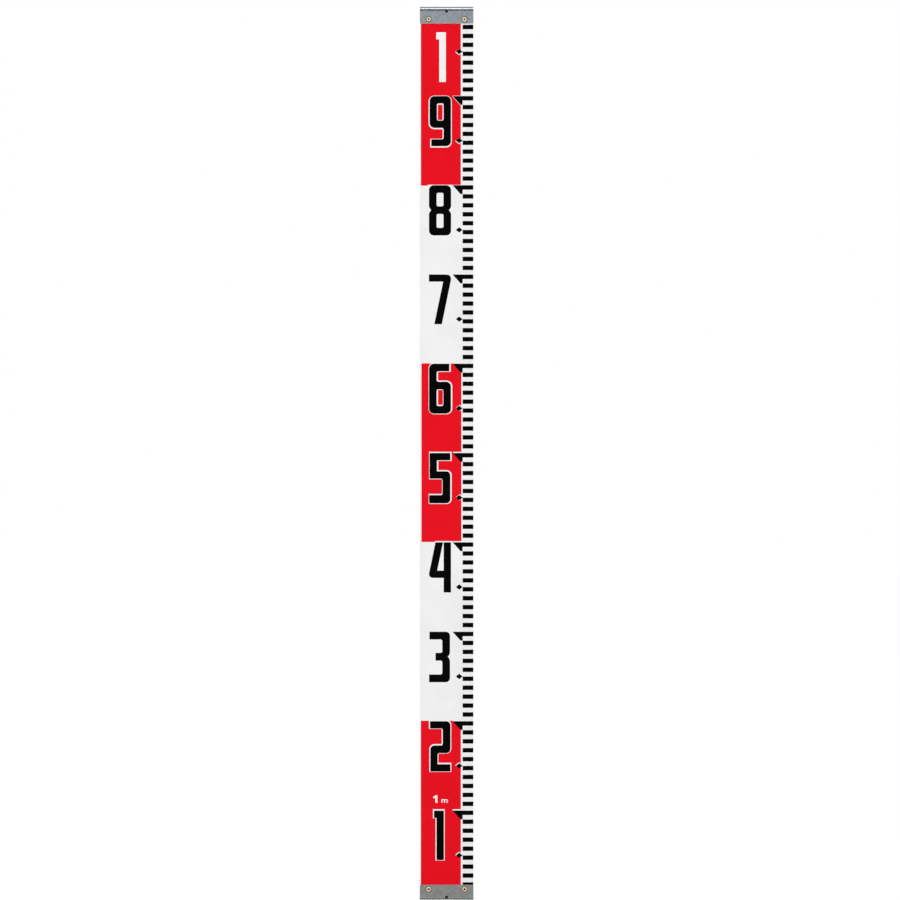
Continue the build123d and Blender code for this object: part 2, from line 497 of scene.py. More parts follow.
def upright_one(wide, high, bar, stem):
    """A 1 with a short level flag at its left."""
    flag = wide - stem
    return [(0, 0, 0), (wide, 0, 0), (wide, high, 0), (flag, high, 0), (flag, bar, 0), (0, bar, 0)]


def turned(corners, wide, high):
    """An outline turned half round in its box."""
    return [(wide - x, high - y, round_by) for x, y, round_by in corners]


def numeral_sizes(digit):
    """A numeral's left and right side, how much heavier it is and how far its foot reaches, in metres."""
    return [size * MM for size in NUMERALS[digit]]


def numeral_shape(digit):
    """Outline of a numeral in its own box, and the counters inside it."""
    scale = settings().scale
    left, right, heavier, lower = numeral_sizes(digit)
    # Width and height of the numeral, and half the common height
    w, h, half = right - left, scale.high + lower, scale.high / 2
    # Widths of a full stroke, a thinner level bar and a slanted stroke
    s = scale.stroke + heavier
    thin, slant = s - scale.thinner, scale.slant_stroke + heavier
    lean, inset = scale.lean, scale.inset
    # Rounding of outer corners, of loops and of inner corners, then depth and half height of the notch
    t, r, n, p, q = scale.turn, scale.loop_turn, scale.nook, scale.notch, scale.notch_half
    if digit == 1:
        return upright_one(w, h, s, s), []
    if digit == 2:
        bar, stem = half - scale.waist, inset + thin
        return [(0, 0, 0), (w, 0, t), (w, bar + s, t), (stem, bar + s, n), (stem, h - thin, 0),
                (w, h - thin, 0), (w, h, 0), (inset, h, 0), (inset, bar, t), (w - s, bar, n),
                (w - s, thin, n), (0, thin, 0)], []
    if digit == 3:
        low, high, stub = half + s / 2, half - s / 2, scale.stub
        return [(inset, 0, 0), (w, 0, t), (w, half - q, n), (w - p, half, 0), (w, half + q, n), (w, h, t),
                (0, h, 0), (0, h - s, 0), (w - s, h - s, n), (w - s, low, n), (stub, low, 0), (stub, high, 0),
                (w - s, high, n), (w - s, s, n), (inset, s, 0)], []
    if digit == 4:
        bar = half + s / 2 - scale.lift
        foot = bar + s
        top = lean * foot
        return [(top, 0, 0), (top + slant, 0, 0), (top + slant - lean * bar, bar, 0), (w - s, bar, 0),
                (w - s, 0, 0), (w, 0, 0), (w, h, 0), (w - s, h, 0), (w - s, foot, 0), (0, foot, r)], []
    if digit == 5:
        bar, stem, foot = half + scale.waist, inset + thin, scale.high - s
        return [(inset, 0, 0), (w, 0, 0), (w, thin, 0), (stem, thin, 0), (stem, bar - thin, 0),
                (w, bar - thin, t), (w, h, t), (0, h, 0), (0, foot, 0), (w - s, foot, n), (w - s, bar, n),
                (inset, bar, 0)], []
    if digit == 7:
        knee = KNEE * s
        foot = w - lean * (h - knee)
        return [(0, 0, 0), (w, 0, t), (w, knee, 0), (foot, h, 0), (foot - s, h, 0),
                (w - slant, thin, 0), (0, thin, 0)], []
    if digit == 8:
        return ([(0, 0, r), (w, 0, r), (w, half - q, n), (w - p, half, 0), (w, half + q, n), (w, h, r),
                 (0, h, r), (0, half + q, n), (p, half, 0), (0, half - q, n)],
                [rectangle(s, s, w - s, half - s / 2, n), rectangle(s, half + s / 2, w - s, h - s, n)])
    # The 9 is the 6 turned half round, with a thinner tail
    tail, bar = w - scale.tail, half + scale.waist
    top = s if digit == 6 else thin
    six = [(0, 0, r), (tail, 0, 0), (tail, top, 0), (s, top, n), (s, bar - s, n), (w, bar - s, r),
           (w, h, r), (0, h, r)]
    counter = rectangle(s, bar, w - s, h - s, n)
    if digit == 6:
        return six, [counter]
    return turned(six, w, h), [turned(counter, w, h)]


def unit_figure(high):
    """A plain 1 with a short flag that slopes down at its left."""
    wide, stem = 0.55 * high, 0.28 * high
    peak, flag = 0.6 * wide, wide - stem
    flag_top, flag_root, flag_foot = 0.23 * high, 0.37 * high, 0.41 * high
    return [(peak, 0, 0), (wide, 0, 0), (wide, high, 0), (flag, high, 0), (flag, flag_root, 0),
            (0, flag_foot, 0), (0, flag_top, 0)]


def unit_letter(size):
    """A plain lower-case m beside a figure of some size: three stems and a bar with a round shoulder."""
    wide, high, stem = 0.84 * size, LETTER_HIGH * size, 0.15 * size
    gap = (wide - 3 * stem) / 2
    bar, nook = 0.7 * stem, 0.3 * stem
    slots = []
    for left in (stem + gap + stem, stem):
        slots += [(left + gap, high, 0), (left + gap, bar, nook), (left, bar, nook), (left, high, 0)]
    return [(0, 0, 0), (wide, 0, stem), (wide, high, 0)] + slots + [(0, high, 0)]


def grown(corners, by):
    """An outline moved outwards all round."""
    result = []
    for place, (x, y, round_by) in enumerate(corners):
        here = Vector((x, y))
        before = Vector(corners[place - 1][:2])
        after = Vector(corners[(place + 1) % len(corners)][:2])
        come, go = (here - before).normalized(), (after - here).normalized()
        out_come, out_go = Vector((come.y, -come.x)), Vector((go.y, -go.x))
        moved = here + (out_come + out_go) * by / (1 + out_come.dot(out_go))
        bulge = by if come.cross(go) > 0 else -by
        result.append((moved.x, moved.y, max(round_by + bulge, 0.0) if round_by else 0.0))
    return result


def draw_outline(name, corners, left, top, front, back):
    """An outline drawn corner by corner on the ribbon, rounded, then given its thickness."""
    points = [Vector((RIBBON_LEFT + left + x, front, top - y)) for x, y, round_by in corners]
    piece = start_line(name, points[0])
    for start, end in zip(points, points[1:]):
        draw_on(end - start)
    bpy.ops.mesh.select_all(action="SELECT")
    bpy.ops.mesh.edge_face_add()
    leave_edit()
    for round_by in sorted({corner[2] for corner in corners if corner[2] > 0}):
        rounded = [point for point, corner in zip(points, corners) if corner[2] == round_by]
        pick(piece, "VERT", lambda place: any((place - point).length < NEAR for point in rounded))
        bpy.ops.mesh.bevel(offset=round_by, segments=8, affect="VERTICES")
        leave_edit()
    pick(piece, "FACE", lambda place: True)
    pull_out((0, back - front, 0))
    bpy.ops.mesh.select_all(action="SELECT")
    bpy.ops.mesh.normals_make_consistent(inside=False)
    leave_edit()
    return piece


def draw_shape(name, outline, counters, left, top, front, back):
    """An outline with its counters cut out."""
    piece = draw_outline(name, outline, left, top, front, back)
    cutters = [draw_outline("counter", counter, left, top, front - SPARE, back + SPARE)
               for counter in counters]
    combine(piece, cutters)
    discard(cutters)
    return piece


def black_rise(outline):
    """How far a black mark lies above its line. A bare outline belongs to the red and has no rise."""
    return 0.0 if outline else settings().scale.black_rise


def draw_numeral(name, digit, front, back, outline=0.0):
    """A numeral hanging from its decimetre line, or the larger shape with its bare outline."""
    corners, counters = numeral_shape(digit)
    top = ZERO + black_rise(outline) + digit * DECIMETRE
    return draw_shape(name, grown(corners, outline), [grown(counter, -outline) for counter in counters],
                      numeral_sizes(digit)[0], top, front, back)


def draw_head(name, digit, front, back, outline):
    """The bare strip over the head of a numeral that stands under a red field."""
    head = [x for x, y, round_by in numeral_shape(digit)[0] if y == 0]
    strip = rectangle(min(head) - outline, -outline, max(head) + outline, outline)
    return draw_outline(name, strip, numeral_sizes(digit)[0], ZERO + digit * DECIMETRE, front, back)


def draw_flags(name, front, back, line=0.0):
    """The flags under the decimetre lines, or the larger shapes with a bare line above."""
    scale = settings().scale
    wide, high = scale.flag_wide, scale.flag_high
    corners = [(0, -line, 0), (wide, -line, 0), (wide, high, 0), (wide - scale.flag_tip, high, 0)]
    if line:
        corners.append((0, 0, 0))
    left = FLAGS_HIGH.x - scale.block_spread - wide - RIBBON_LEFT
    flags = draw_outline(name, corners, left, ZERO + black_rise(line) + DECIMETRE, front, back)
    repeat_up(flags, len(NUMERALS), DECIMETRE)
    return flags


def draw_diamonds(name, front, back, outline=0.0):
    """The diamonds on the half decimetres, or the larger shapes with their bare outline."""
    scale = settings().scale
    x, y = scale.diamond_wide / 2 + outline, scale.diamond_high / 2 + outline
    corners = [(-x, 0, 0), (0, -y, 0), (x, 0, 0), (0, y, 0)]
    middle = (DIAMONDS_LOW.x + DIAMONDS_HIGH.x) / 2 - RIBBON_LEFT
    diamonds = draw_outline(name, corners, middle, ZERO + black_rise(outline) + DECIMETRE / 2, front, back)
    repeat_up(diamonds, round((DIAMONDS_HIGH.z - DIAMONDS_LOW.z) / DECIMETRE) + 1, DECIMETRE)
    return diamonds


def draw_white_figures(front, back):
    """The bare numeral of the metre, and the figure and letter of the unit mark."""
    scale = settings().scale
    wide, size = scale.metre_right - scale.metre_left, scale.unit_high
    metre = upright_one(wide, scale.high, scale.metre_bar, wide - scale.metre_flag)
    foot = ZERO + scale.unit_foot
    letter_left, letter_top = scale.unit_left + LETTER_LEFT * size, foot + LETTER_HIGH * size
    return [draw_shape("bare_metre", metre, [], scale.metre_left, ZERO + scale.metre_top, front, back),
            draw_shape("bare_figure", unit_figure(size), [], scale.unit_left, foot + size, front, back),
            draw_shape("bare_letter", unit_letter(size), [], letter_left, letter_top, front, back)]


# Materials

def feed(tree, node, inputs):
    """Sets a node's inputs to plain values, or links them to other nodes' outputs."""
    for key, value in inputs.items():
        if isinstance(value, bpy.types.NodeSocket):
            tree.links.new(value, node.inputs[key])
        else:
            node.inputs[key].default_value = value


def add_node(tree, kind, inputs, **options):
    """A node with its options and inputs."""
    node = tree.nodes.new(kind)
    for key, value in options.items():
        setattr(node, key, value)
    feed(tree, node, inputs)
    return node


def new_material(name):
    """An empty node material: its tree, its shader and the object's own coordinates."""
    material = bpy.data.materials.new(name)
    material.use_nodes = True
    tree = material.node_tree
    shader = tree.nodes["Principled BSDF"]
    place = tree.nodes.new("ShaderNodeTexCoord").outputs["Object"]
    return material, tree, shader, place


def math_node(tree, operation, *values):
    """One arithmetic step."""
    return add_node(tree, "ShaderNodeMath", dict(enumerate(values)), operation=operation).outputs["Value"]


def vector_node(tree, operation, first, second):
    """The outputs of one step with two vectors."""
    return add_node(tree, "ShaderNodeVectorMath", {0: first, 1: second}, operation=operation).outputs


def along(tree, place, axis):
    """One coordinate of a place."""
    return add_node(tree, "ShaderNodeSeparateXYZ", {"Vector": place}).outputs[axis]


def noise(tree, place, size, detail=3.0, stretch=(1, 1, 1)):
    """Soft noise with spots of about one size, stretched along an axis where asked."""
    spread = vector_node(tree, "MULTIPLY", place, stretch)["Vector"]
    return add_node(tree, "ShaderNodeTexNoise",
                    {"Vector": spread, "Scale": 1 / size, "Detail": detail}).outputs["Fac"]


def ramp(tree, value, low, high, low_to, high_to):
    """A value mapped from one range to another."""
    ends = {"Value": value, "From Min": low, "From Max": high, "To Min": low_to, "To Max": high_to}
    return add_node(tree, "ShaderNodeMapRange", ends).outputs["Result"]


def bump(tree, height, strength, depth):
    """The surface's normal, tilted by a height."""
    relief = {"Strength": strength, "Distance": depth, "Height": height}
    return add_node(tree, "ShaderNodeBump", relief).outputs["Normal"]


def blend_colours(tree, share, first, second):
    """A colour between two, by a share."""
    mixed = add_node(tree, "ShaderNodeMix", {}, data_type="RGBA")
    sockets = {socket.identifier: socket for socket in mixed.inputs}
    tree.links.new(share, sockets["Factor_Float"])
    for socket, value in ((sockets["A_Color"], first), (sockets["B_Color"], second)):
        if isinstance(value, bpy.types.NodeSocket):
            tree.links.new(value, socket)
        else:
            socket.default_value = (*value, 1.0)
    return [socket for socket in mixed.outputs if socket.identifier == "Result_Color"][0]


def shade(base, factor):
    """A colour made darker or lighter."""
    return tuple(min(channel * factor, 1.0) for channel in base)


def weave(tree, place, pitch):
    """Height of a plain weave: each thread passes over one crossing and under the next."""
    turn = math.pi / pitch
    warp, weft = (math_node(tree, "SINE", math_node(tree, "MULTIPLY", along(tree, place, axis), turn))
                  for axis in "XZ")
    over = math_node(tree, "GREATER_THAN", math_node(tree, "MULTIPLY", warp, weft), 0.0)
    under = math_node(tree, "SUBTRACT", 1.0, over)
    up = math_node(tree, "MULTIPLY", math_node(tree, "ABSOLUTE", warp), over)
    across = math_node(tree, "MULTIPLY", math_node(tree, "ABSOLUTE", weft), under)
    return math_node(tree, "ADD", up, across)


def film_material(name, base, threads_show, specular):
    """A soft film over woven cloth, as coat or ink: threads telegraph through, with cloudy patches."""
    material, tree, shader, place = new_material(name)
    threads = weave(tree, place, settings().ribbon.thread)
    cloud = noise(tree, place, 45 * MM)
    speck = noise(tree, place, 1.6 * MM, detail=4.0)
    tint = blend_colours(tree, ramp(tree, cloud, 0.35, 0.65, 0.0, 1.0), shade(base, 0.965), shade(base, 1.02))
    tint = blend_colours(tree, ramp(tree, speck, 0.55, 0.75, 0.0, 0.5), tint, shade(base, 0.93))
    relief = math_node(tree, "ADD", math_node(tree, "MULTIPLY", threads, threads_show), speck)
    feed(tree, shader, {"Base Color": tint, "Roughness": ramp(tree, speck, 0.3, 0.7, 0.46, 0.60),
                        "Normal": bump(tree, relief, 0.35, 0.02 * MM), "Specular IOR Level": specular})
    return material


def cloth_material():
    """Bare threads in the slit edges of the ribbon."""
    ribbon = settings().ribbon
    material, tree, shader, place = new_material("slit cloth")
    threads = weave(tree, place, ribbon.thread)
    # Painted shade: the cloth is darker where the weave lies low
    tint = blend_colours(tree, threads, shade(ribbon.cloth, 0.6), tuple(ribbon.cloth))
    feed(tree, shader, {"Base Color": tint, "Roughness": 0.9, "Specular IOR Level": 0.2,
                        "Normal": bump(tree, threads, 0.7, 0.05 * MM)})
    return material


def dirt_and_shade(tree, place, end, tip, most):
    """Dirt and painted shade at one end, as a share: in the bead's neck and round the rivets' feet."""
    inwards = math_node(tree, "ABSOLUTE", math_node(tree, "SUBTRACT", along(tree, place, "Z"), tip))
    neck = 2 * FITTING_HIGH.y
    at_bead = ramp(tree, inwards, neck - DIRT_AND_SHADE_AT_BEAD[0], neck - DIRT_AND_SHADE_AT_BEAD[1], 0.0, most)
    at_legs = ramp(tree, inwards, neck + DIRT_AND_SHADE_AT_LEGS[0], neck + DIRT_AND_SHADE_AT_LEGS[1], most, 0.0)
    level = vector_node(tree, "MULTIPLY", place, (1, 0, 1))["Vector"]
    gaps = [vector_node(tree, "DISTANCE", level, (rivet.x, 0, rivet.z))["Value"]
            for rivet in rivet_places(end)]
    low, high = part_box(f"{end}_left_rivet")
    head = (high.x - low.x) / 2
    nearest = math_node(tree, "MINIMUM", *gaps)
    at_rivet = ramp(tree, nearest, head + DIRT_AND_SHADE_AT_RIVET[0], head + DIRT_AND_SHADE_AT_RIVET[1], most, 0.0)
    return math_node(tree, "MAXIMUM", math_node(tree, "MINIMUM", at_bead, at_legs), at_rivet)


def plated_material(name, base, end, tip, most):
    """Satin plated sheet: rolling grain across the staff, a fine mottle, rubbed patches, soiling and painted
    shade.
    """
    material, tree, shader, place = new_material(name)
    grain = noise(tree, place, 0.25 * MM, detail=2.0, stretch=(0.05, 1, 1))
    pits = noise(tree, place, 1.0 * MM, detail=5.0)
    mottle = noise(tree, place, 2.2 * MM, detail=4.0)
    patch = noise(tree, place, 14 * MM, detail=2.0)
    tint = blend_colours(tree, ramp(tree, mottle, 0.3, 0.7, 0.0, 1.0), shade(base, 0.8), shade(base, 1.18))
    tint = blend_colours(tree, ramp(tree, grain, 0.4, 0.7, 0.0, 0.5), tint, shade(base, 0.86))
    patchy = ramp(tree, mottle, 0.35, 0.65, 0.6, 1.0)
    dirt_and_shade_share = math_node(tree, "MULTIPLY", dirt_and_shade(tree, place, end, tip, most), patchy)
    # Dirt and painted shade: the sheet turns dark in the neck's crease and round the rivets' feet
    tint = blend_colours(tree, dirt_and_shade_share, tint, shade(base, 0.2))
    rubbed = ramp(tree, patch, 0.3, 0.7, 0.15, 0.19)
    relief = math_node(tree, "ADD", grain, pits)
    feed(tree, shader, {"Base Color": tint, "Metallic": 1.0, "Normal": bump(tree, relief, 0.2, 0.03 * MM),
                        "Roughness": math_node(tree, "MAXIMUM", rubbed, dirt_and_shade_share)})
    return material


def painted_shade_material(name, base):
    """Painted shade on dull metal that hardly sees the light: inside the fold, and down the bores on brass
    darkened with age.
    """
    material, tree, shader, place = new_material(name)
    mottle = noise(tree, place, 0.8 * MM, detail=4.0)
    tint = blend_colours(tree, mottle, shade(base, 0.6), shade(base, 1.5))
    feed(tree, shader, {"Base Color": tint, "Roughness": ramp(tree, mottle, 0.3, 0.7, 0.6, 0.8),
                        "Specular IOR Level": 0.2})
    return material


def brass_material():
    """Pale brass, turned and set, with faint stains."""
    rivet = settings().rivet
    material, tree, shader, place = new_material("pale brass")
    stain = noise(tree, place, 1.3 * MM, detail=4.0)
    tint = blend_colours(tree, ramp(tree, stain, 0.45, 0.75, 0.0, 0.7), tuple(rivet.brass),
                         shade(rivet.brass, 0.6))
    # The brass is darker towards the bottom end
    darker_towards_bottom = ramp(tree, along(tree, place, "Z"), FITTING_HIGH.z, STAFF_HIGH - FITTING_HIGH.z, rivet.bottom_darkening, 0.0)
    tint = blend_colours(tree, darker_towards_bottom, tint, shade(rivet.brass, 0.45))
    feed(tree, shader, {"Base Color": tint, "Metallic": 1.0, "Normal": bump(tree, stain, 0.2, 0.02 * MM),
                        "Roughness": ramp(tree, stain, 0.3, 0.7, 0.2, 0.34)})
    return material


# Pieces

class STAFF_OT_ribbon(bpy.types.Operator):
    """Model the coated cloth ribbon, with its slit edges, its rivet holes and its slow bow"""
    bl_idname = "staff.ribbon"
    bl_label = "Ribbon"

    def execute(self, context):
        sizes = settings().ribbon
        ribbon = add_box("ribbon", (RIBBON_LEFT, RIBBON_FRONT, RIBBON_LOW),
                         (RIBBON_RIGHT, RIBBON_BACK, RIBBON_HIGH))
        half_way = (RIBBON_LOW + RIBBON_HIGH) / 2
        pick(ribbon, "EDGE", lambda place: (abs(place.x) > RIBBON_RIGHT - SPARE
                                            and abs(place.z - half_way) < SPARE))
        bpy.ops.mesh.bevel(offset=sizes.edge_round, segments=2)
        for depth in (CORE_FRONT, CORE_BACK):
            bpy.ops.mesh.select_all(action="SELECT")
            bpy.ops.mesh.bisect(plane_co=(0, depth, 0), plane_no=(0, 1, 0))
        leave_edit()
        pick(ribbon, "FACE", lambda place: CORE_FRONT < place.y < CORE_BACK)
        sink = {"value": -sizes.core_recess, "use_even_offset": True}
        bpy.ops.mesh.extrude_region_shrink_fatten(TRANSFORM_OT_shrink_fatten=sink)
        leave_edit()
        close_seams(ribbon)
        posts = [add_post("post", rivet.x, rivet.z, sizes.rivet_hole, -SPARE, SPARE)
                 for rivet in rivet_places("bottom") + rivet_places("top")]
        combine(ribbon, posts)
        discard(posts)
        cut_levels(ribbon)
        clothe(ribbon, film_material("white coat", sizes.coat, threads_show=1.0, specular=0.25),
               cloth_material())
        for face in ribbon.data.polygons:
            in_core = CORE_FRONT < face.center.y < CORE_BACK
            if in_core and abs(face.center.x) < RIBBON_RIGHT - NEAR:
                face.material_index = 1
        bow(ribbon)
        smooth(ribbon)
        stand_for(ribbon, "white_coat", "front_coat", "woven_core", "back_coat")
        return {"FINISHED"}


class STAFF_OT_black_print(bpy.types.Operator):
    """Print the black centimetre blocks, decimetre flags and half-decimetre diamonds"""
    bl_idname = "staff.black_print"
    bl_label = "Black marks"

    def execute(self, context):
        scale = settings().scale
        ink = film_material("black ink", scale.black, threads_show=0.6, specular=0.01)
        first = ZERO + math.ceil((SCALE_LOW - ZERO) / CENTIMETRE) * CENTIMETRE
        top = first + scale.black_rise
        low = (BLOCKS_LOW.x - scale.block_spread, INK_FRONT, top - CENTIMETRE / 2)
        high = (BLOCKS_HIGH.x - settings().ribbon.edge_round, RIBBON_FRONT, top)
        blocks = add_box("centimetre_print", low, high)
        repeat_up(blocks, round((BLOCKS_HIGH.z - first) / CENTIMETRE) + 1, CENTIMETRE)
        keep_between(blocks, SCALE_LOW, SCALE_HIGH)
        flags = draw_flags("flag_print", INK_FRONT, RIBBON_FRONT)
        diamonds = draw_diamonds("diamond_print", INK_FRONT, RIBBON_FRONT)
        finish_print(blocks, ink, "black_ink", "centimetre_blocks")
        finish_print(flags, ink, "black_ink", "decimetre_flags")
        finish_print(diamonds, ink, "black_ink", "half_decimetre_diamonds")
        return {"FINISHED"}


class STAFF_OT_numerals(bpy.types.Operator):
    """Print the black numerals 1 to 9, each hanging from its decimetre line"""
    bl_idname = "staff.numerals"
    bl_label = "Numerals"

    def execute(self, context):
        ink = bpy.data.materials["black ink"]
        for digit in NUMERALS:
            numeral = draw_numeral(f"numeral_{digit}", digit, INK_FRONT, RIBBON_FRONT)
            finish_print(numeral, ink, "black_ink")
        return {"FINISHED"}


class STAFF_OT_red_print(bpy.types.Operator):
    """Print the red fields, bare where the black marks, the numerals and the white figures are"""
    bl_idname = "staff.red_print"
    bl_label = "Red fields"

    def execute(self, context):
        scale = settings().scale
        depth = (INK_FRONT - SPARE, RIBBON_FRONT + SPARE)
        bare = [draw_flags("bare_flags", *depth, scale.flag_outline),
                draw_diamonds("bare_diamonds", *depth, scale.diamond_outline)]
        bare += [draw_numeral("bare_numeral", digit, *depth, scale.outline) for digit in ON_RED]
        bare += [draw_head("bare_head", digit, *depth, scale.outline) for digit in UNDER_RED]
        printed = [draw_flags("printed_flags", *depth), draw_diamonds("printed_diamonds", *depth)]
        printed += [draw_numeral("printed_numeral", digit, *depth) for digit in ON_RED + UNDER_RED]
        printed += draw_white_figures(*depth)
        ink = film_material("red ink", scale.red, threads_show=0.6, specular=0.04)
        spread = Vector((scale.red_spread, 0, 0))
        for number, (right, up) in REGISTER.items():
            low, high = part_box(f"red_field_{number}")
            # A field that ends at a fitting is carried on, so that its shift leaves no gap there
            below = Vector((0, 0, SPARE if low.z <= SCALE_LOW else 0))
            above = Vector((0, 0, SPARE if high.z >= SCALE_HIGH else 0))
            field = add_box(f"red_print_{number}", low - spread - below, high + spread + above)
            combine(field, bare)
            field.location = (right * MM, 0, up * MM)
            select_only(field)
            apply_transform()
            keep_between(field, SCALE_LOW, SCALE_HIGH)
            combine(field, printed)
            finish_print(field, ink, "red_ink", f"red_field_{number}")
        discard(bare + printed)
        return {"FINISHED"}


def fold_sheet(name):
    """The sheet folded round the ribbon's end: leg, neck, round bead, neck and leg, with its thickness."""
    sizes = settings().fitting
    leg = RIBBON_BACK + sizes.sheet / 2
    bead = FITTING_HIGH.y - sizes.sheet / 2
    # A straight flank slopes from the bend at each leg to where it touches the bead
    rise = FITTING_HIGH.y + sizes.neck
    reach = math.hypot(leg, rise)
    slope = math.pi / 2 - math.atan2(leg, rise) - math.acos(bead / reach)
    run = sizes.neck_bend * math.tan(slope / 2)
    straight = math.sqrt(reach * reach - bead * bead) - run
    bend_height = BEAD_HEIGHT + rise + run
    left, right, top = RIBBON_LEFT - SPARE, RIBBON_RIGHT + SPARE, FITTING_HIGH.z + SPARE
    sheet = start_line(name, (left, -leg, top))
    draw_on((right - left, 0, 0))
    bpy.ops.mesh.select_all(action="SELECT")
    pull_out((0, 0, bend_height - top))
    bpy.ops.mesh.spin(steps=6, angle=slope, center=(0, -leg - sizes.neck_bend, bend_height), axis=(1, 0, 0))
    pull_out((0, -straight * math.sin(slope), -straight * math.cos(slope)))
    bpy.ops.mesh.spin(steps=20, angle=math.pi / 2 + slope, center=(0, 0, BEAD_HEIGHT), axis=(-1, 0, 0))
    leave_edit()
    finish_with(sheet, "MIRROR", use_axis=(False, True, False), use_clip=True, merge_threshold=NEAR)
    close_seams(sheet)
    finish_with(sheet, "SOLIDIFY", thickness=sizes.sheet, offset=0.0, use_even_offset=True)
    return sheet


class STAFF_OT_fittings(bpy.types.Operator):
    """Fold the two sheet-metal ends, pierce them and break their edges"""
    bl_idname = "staff.fittings"
    bl_label = "End fittings"

    def execute(self, context):
        sizes = settings().fitting
        bottom = fold_sheet("bottom_fitting")
        front, back = 2 * FITTING_LOW.y, 2 * FITTING_HIGH.y
        # The plate ends just past the bead, so that only its rounded corners cut the sheet there
        past_end = FITTING_HIGH.z + SPARE / 10
        outline = rectangle(0, 0, RIBBON_RIGHT - RIBBON_LEFT, past_end, sizes.corner)
        plate = draw_outline("plate", outline, 0, FITTING_HIGH.z, front, back)
        combine(bottom, [plate], "INTERSECT")
        holes = [add_post("hole", rivet.x, rivet.z, sizes.rivet_hole, front, back)
                 for rivet in rivet_places("bottom")]
        holes.append(add_post("hole", 0, sizes.hook_setback, sizes.hook_hole, front, 0))
        combine(bottom, holes)
        discard([plate] + holes)
        finish_with(bottom, "BEVEL", width=sizes.edge, segments=2, limit_method="ANGLE",
                    angle_limit=math.radians(40))
        # Painted shade: faces inside the fold get a near-black metal
        inside = painted_shade_material("inside of the fold", sizes.inside)
        metal = plated_material("bottom plated sheet", sizes.bottom, "bottom", 0.0, sizes.bottom_dirt_and_shade)
        clothe(bottom, metal, inside)
        for face in bottom.data.polygons:
            away = Vector((0, face.center.y, min(face.center.z - BEAD_HEIGHT, 0))).normalized()
            face.material_index = 1 if face.normal.dot(away) < LOOKS_IN else 0
        smooth(bottom)
        finish_with(bottom, "WEIGHTED_NORMAL", keep_sharp=True, weight=80)
        top = duplicate(bottom, "top_fitting")
        top.rotation_euler = (0, math.pi, 0)
        top.location = (0, 0, STAFF_HIGH)
        apply_transform()
        top.data.materials[0] = plated_material("top plated sheet", sizes.top, "top", STAFF_HIGH,
                                                sizes.top_dirt_and_shade)
        stand_for(bottom, "fitting_metal", "bottom_end_fitting")
        stand_for(top, "fitting_metal", "top_end_fitting")
        return {"FINISHED"}


class STAFF_OT_rivets(bpy.types.Operator):
    """Turn one hollow rivet and set a copy at each corner of the ribbon"""
    bl_idname = "staff.rivets"
    bl_label = "Rivets"

    def execute(self, context):
        sizes = settings().rivet
        low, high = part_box("bottom_left_rivet")
        head = (high.x - low.x) / 2
        plates = RIBBON_BACK + settings().fitting.sheet
        shank, bore = sizes.shank / 2, sizes.bore / 2
        # The dome behind is cut from a ball through the head's rim
        dome = high.y - plates
        ball = (head * head + dome * dome) / (2 * dome)
        profile = [(shank, plates), (shank, -plates), (head, -plates), (head, low.y), (bore, low.y),
                   (bore, plates - sizes.floor), (0, plates - sizes.floor)]
        model = start_line("rivet", (0, high.y, 0))
        bpy.ops.mesh.spin(steps=10, angle=math.asin(head / ball), center=(0, high.y - ball, 0),
                          axis=(0, 0, 1))
        start = Vector((head, plates))
        for end in profile:
            step = Vector(end) - start
            draw_on((step.x, step.y, 0))
            start = Vector(end)
        leave_edit()
        for radius, width in ((head, sizes.bevel), (bore, sizes.mouth)):
            pick(model, "VERT", lambda place: (place - Vector((radius, low.y, 0))).length < NEAR)
            bpy.ops.mesh.bevel(offset=width, segments=5, affect="VERTICES")
            leave_edit()
        pick_all(model)
        bpy.ops.mesh.spin(steps=56, angle=math.tau, center=(0, 0, 0), axis=(0, 1, 0))
        leave_edit()
        close_seams(model)
        clothe(model, brass_material(), painted_shade_material("tarnished_and_shaded bore", sizes.bore_tarnish_and_shade))
        # Tarnish and painted shade: faces down the bore are coloured near black
        for face in model.data.polygons:
            round_axis = math.hypot(face.center.x, face.center.z)
            face.material_index = 1 if round_axis < bore + NEAR and face.center.y < plates else 0
        smooth(model)
        for end in ("bottom", "top"):
            for side, place in zip(("left", "right"), rivet_places(end)):
                rivet = duplicate(model, f"{end}_{side}_set_rivet")
                rivet.location = (place.x, 0, place.z)
                apply_transform()
                stand_for(rivet, "rivet_brass", f"{end}_{side}_rivet")
        discard([model])
        return {"FINISHED"}


class STAFF_OT_cloth(bpy.types.Operator):
    bl_idname = "staff.cloth"
    bl_label = "Declare the ribbon"

    def execute(self, context):
        printed = ["centimetre_print", "flag_print", "diamond_print"]
        printed += [f"red_print_{number}" for number in REGISTER]
        printed += [f"numeral_{digit}" for digit in NUMERALS]
        return {"FINISHED"}


def add_lamp(name, watts, wide, high, place, target):
    """A soft oblong lamp that looks at a point."""
    turn = (Vector(target) - Vector(place)).to_track_quat("-Z", "Y").to_euler()
    bpy.ops.object.light_add(type="AREA", location=place, rotation=turn)
    lamp = bpy.context.object
    lamp.name = name
    lamp.data.energy = watts
    lamp.data.shape = "RECTANGLE"
    lamp.data.size = wide
    lamp.data.size_y = high


def seen_directly(tree):
    """1 for what the camera sees, straight or in metal and glass, and 0 for light on the way."""
    path = tree.nodes.new("ShaderNodeLightPath").outputs
    seen = math_node(tree, "MAXIMUM", path["Is Camera Ray"], path["Is Glossy Ray"])
    return math_node(tree, "MAXIMUM", seen, path["Is Transmission Ray"])


